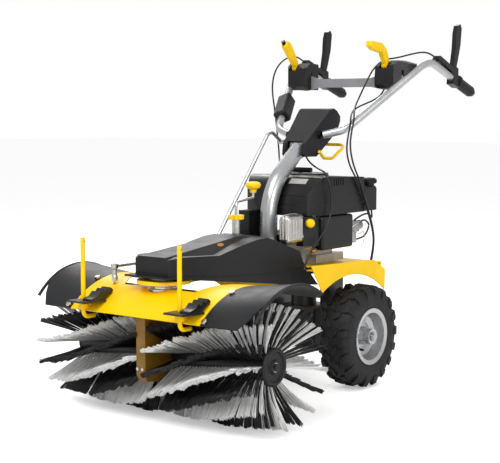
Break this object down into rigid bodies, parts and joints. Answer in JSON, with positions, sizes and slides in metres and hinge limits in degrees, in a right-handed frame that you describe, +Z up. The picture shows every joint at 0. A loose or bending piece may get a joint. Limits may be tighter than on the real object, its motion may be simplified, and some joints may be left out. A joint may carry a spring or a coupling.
{
  "type": "walk-behind power sweeper",
  "caption": "Walk-behind petrol sweeper with a two-part roller brush, arched hood and fenders, belt-cover boom, two knobbly wheels and a long bent handlebar.",
  "frame": {"origin": "on the ground under the centre of the overall length and width", "axes": "+X to the machine's side, +Y towards the grips (the brush is at -Y), +Z up"},
  "size_m": [0.8, 1.4403, 1.13],
  "materials": {
    "yellow_paint": "signal yellow enamel, semi-gloss",
    "yellow_plastic": "moulded yellow plastic",
    "black_paint": "black powder coat",
    "black_plastic": "fine-grained charcoal plastic",
    "black_rubber": "ribbed soft grip rubber",
    "tyre_rubber": "knobbly tyre rubber",
    "cable_sheath": "black cable sheath",
    "silver_paint": "silver lacquer, satin",
    "grey_steel": "matte grey paint",
    "zinc_steel": "bright zinc plate",
    "bare_steel": "machined steel",
    "cast_aluminium": "as cast",
    "bristle": "alternate rows of grey-white and black nylon bristle"
  },
  "bodies": {
    "chassis": {"axle": "bare_steel", "transmission": "cast_aluminium", "frame_brackets": "black_paint", "deck": "yellow_paint", "side_panels": "yellow_paint", "tilt_shaft": "bare_steel", "column": "silver_paint", "engine_block": "cast_aluminium", "engine_pulley": "black_paint", "blower_housing": "black_plastic", "fuel_tank": "black_plastic", "muffler": "zinc_steel", "filter_cover": "black_plastic", "carburettor": "cast_aluminium"},
    "wheel_left": {"tyre_left": "tyre_rubber", "rim_left": "silver_paint"},
    "wheel_right": {"tyre_right": "tyre_rubber", "rim_right": "silver_paint"},
    "boom": {"boom_arm": "yellow_paint", "belt_cover": "black_plastic", "crank_sleeve": "zinc_steel"},
    "height_crank": {"crank_rod": "zinc_steel"},
    "crank_knob": {"crank_knob": "yellow_plastic"},
    "lock_star": {"star_nut": "yellow_plastic"},
    "brush_head": {"brush_cover": "yellow_paint", "head_frame": "black_paint", "fenders": "black_plastic", "gear_case": "yellow_paint", "swivel_boss": "zinc_steel", "posts": "yellow_paint", "latches": "black_paint", "head_fasteners": "zinc_steel"},
    "worm_shaft": {"worm_shaft": "bare_steel"},
    "brush_roller": {"brush_shaft": "bare_steel", "brush_cores": "black_plastic", "brush_end_caps": "black_plastic", "bristles": "bristle", "worm_wheel": "bare_steel"},
    "tie_rod": {"tie_rod": "zinc_steel"},
    "control_rod": {"control_rod": "silver_paint"},
    "handlebar": {"handlebar_tubes": "silver_paint", "handle_yoke": "black_paint", "console": "black_plastic", "cross_plate": "grey_steel", "lever_boots": "black_plastic", "grips": "black_rubber", "lever_clamps": "black_plastic", "cable_shroud": "black_plastic", "control_cables": "cable_sheath", "brush_cable": "cable_sheath"},
    "swivel_lever": {"swivel_lever": "yellow_plastic"},
    "swivel_button": {"swivel_button": "black_plastic"},
    "gear_lever": {"gear_lever": "yellow_plastic"},
    "lever_left": {"lever_left": "black_plastic"},
    "lever_right": {"lever_right": "black_plastic"},
    "release_loop": {"release_loop": "yellow_paint"},
    "fuel_cap": {"fuel_cap": "black_plastic"},
    "oil_cap": {"oil_cap": "black_plastic"},
    "primer_bulb": {"primer_bulb": "yellow_plastic"},
    "starter_grip": {"starter_grip": "black_plastic"}
  },
  "joints": [
    {"name": "wheel_left_spin", "type": "hinge", "parent": "chassis", "child": "wheel_left", "pos_m": [-0.1995, 0.119, 0.159], "axis": [1, 0, 0], "continuous": true},
    {"name": "wheel_right_spin", "type": "hinge", "parent": "chassis", "child": "wheel_right", "pos_m": [0.1995, 0.119, 0.159], "axis": [1, 0, 0], "continuous": true},
    {"name": "boom_tilt", "type": "hinge", "parent": "chassis", "child": "boom", "pos_m": [0, -0.065, 0.33], "axis": [1, 0, 0], "range_deg": [-2, 0]},
    {"name": "crank_turn", "type": "hinge", "parent": "boom", "child": "height_crank", "pos_m": [0, -0.234, 0.48], "axis": [0, 0, 1], "range_deg": [0, 360]},
    {"name": "crank_knob_spin", "type": "hinge", "parent": "height_crank", "child": "crank_knob", "pos_m": [0, -0.152, 0.61], "axis": [0, 0, 1], "continuous": true},
    {"name": "lock_star_turn", "type": "hinge", "parent": "boom", "child": "lock_star", "pos_m": [0, -0.234, 0.535], "axis": [0, 0, 1], "range_deg": [-90, 90]},
    {"name": "head_swivel", "type": "hinge", "parent": "boom", "child": "brush_head", "pos_m": [0, -0.549, 0.37], "axis": [0, 0, 1], "range_deg": [-15, 15]},
    {"name": "brush_spin", "type": "hinge", "parent": "brush_head", "child": "brush_roller", "pos_m": [0, -0.495, 0.175], "axis": [1, 0, 0], "continuous": true},
    {"name": "worm_spin", "type": "hinge", "parent": "brush_head", "child": "worm_shaft", "pos_m": [0, -0.549, 0.3], "axis": [0, 0, 1], "continuous": true},
    {"name": "tie_rod_swing", "type": "hinge", "parent": "brush_head", "child": "tie_rod", "pos_m": [-0.162, -0.575, 0.412], "axis": [0, 0, 1], "range_deg": [-15, 15]},
    {"name": "control_rod_swing", "type": "hinge", "parent": "chassis", "child": "control_rod", "pos_m": [-0.086, 0.104, 0.748], "axis": [1, 0, 0], "range_deg": [-8, 8]},
    {"name": "handlebar_tilt", "type": "hinge", "parent": "chassis", "child": "handlebar", "pos_m": [0, 0.085, 0.738], "axis": [1, 0, 0], "range_deg": [-8, 8], "deforming": ["control_cables", "brush_cable"]},
    {"name": "swivel_lever_turn", "type": "hinge", "parent": "handlebar", "child": "swivel_lever", "pos_m": [-0.19, 0.33, 0.988], "axis": [1, 0, 0], "range_deg": [-30, 30]},
    {"name": "swivel_button_press", "type": "slide", "parent": "swivel_lever", "child": "swivel_button", "axis": [0, 0.5736, -0.8192], "range_m": [0, 0.004], "stiffness_N_per_m": 400},
    {"name": "gear_lever_turn", "type": "hinge", "parent": "handlebar", "child": "gear_lever", "pos_m": [0.16, 0.33, 0.988], "axis": [1, 0, 0], "range_deg": [-15, 15]},
    {"name": "lever_left_squeeze", "type": "hinge", "parent": "handlebar", "child": "lever_left", "pos_m": [-0.258, 0.585, 0.975], "axis": [1, 0, 0], "range_deg": [-72, 0], "stiffness_Nm_per_rad": 1, "springref_deg": 17.19},
    {"name": "lever_right_squeeze", "type": "hinge", "parent": "handlebar", "child": "lever_right", "pos_m": [0.258, 0.585, 0.975], "axis": [1, 0, 0], "range_deg": [-72, 0], "stiffness_Nm_per_rad": 1, "springref_deg": 17.19},
    {"name": "release_loop_pull", "type": "hinge", "parent": "handlebar", "child": "release_loop", "pos_m": [0, 0.104, 0.72], "axis": [1, 0, 0], "range_deg": [-12, 0]},
    {"name": "fuel_cap_turn", "type": "hinge", "parent": "chassis", "child": "fuel_cap", "pos_m": [0.1, 0.328, 0.62], "axis": [0, 0, 1], "range_deg": [-90, 0]},
    {"name": "oil_cap_turn", "type": "hinge", "parent": "chassis", "child": "oil_cap", "pos_m": [-0.106, 0.07, 0.49], "axis": [0, 0, 1], "range_deg": [-90, 0]},
    {"name": "primer_push", "type": "slide", "parent": "chassis", "child": "primer_bulb", "axis": [-0.8, 0.6, 0], "range_m": [0, 0.008], "stiffness_N_per_m": 500},
    {"name": "starter_pull", "type": "slide", "parent": "chassis", "child": "starter_grip", "axis": [0, 1, 0], "range_m": [0, 0.35], "stiffness_N_per_m": 20}
  ],
  "couplings": [
    {"joint": "crank_turn", "follows": "boom_tilt", "ratio": -180},
    {"joint": "worm_spin", "follows": "brush_spin", "ratio": 10},
    {"joint": "tie_rod_swing", "follows": "head_swivel", "ratio": -0.97},
    {"joint": "control_rod_swing", "follows": "head_swivel", "ratio": -0.45},
    {"joint": "swivel_lever_turn", "follows": "head_swivel", "ratio": 2}
  ]
}
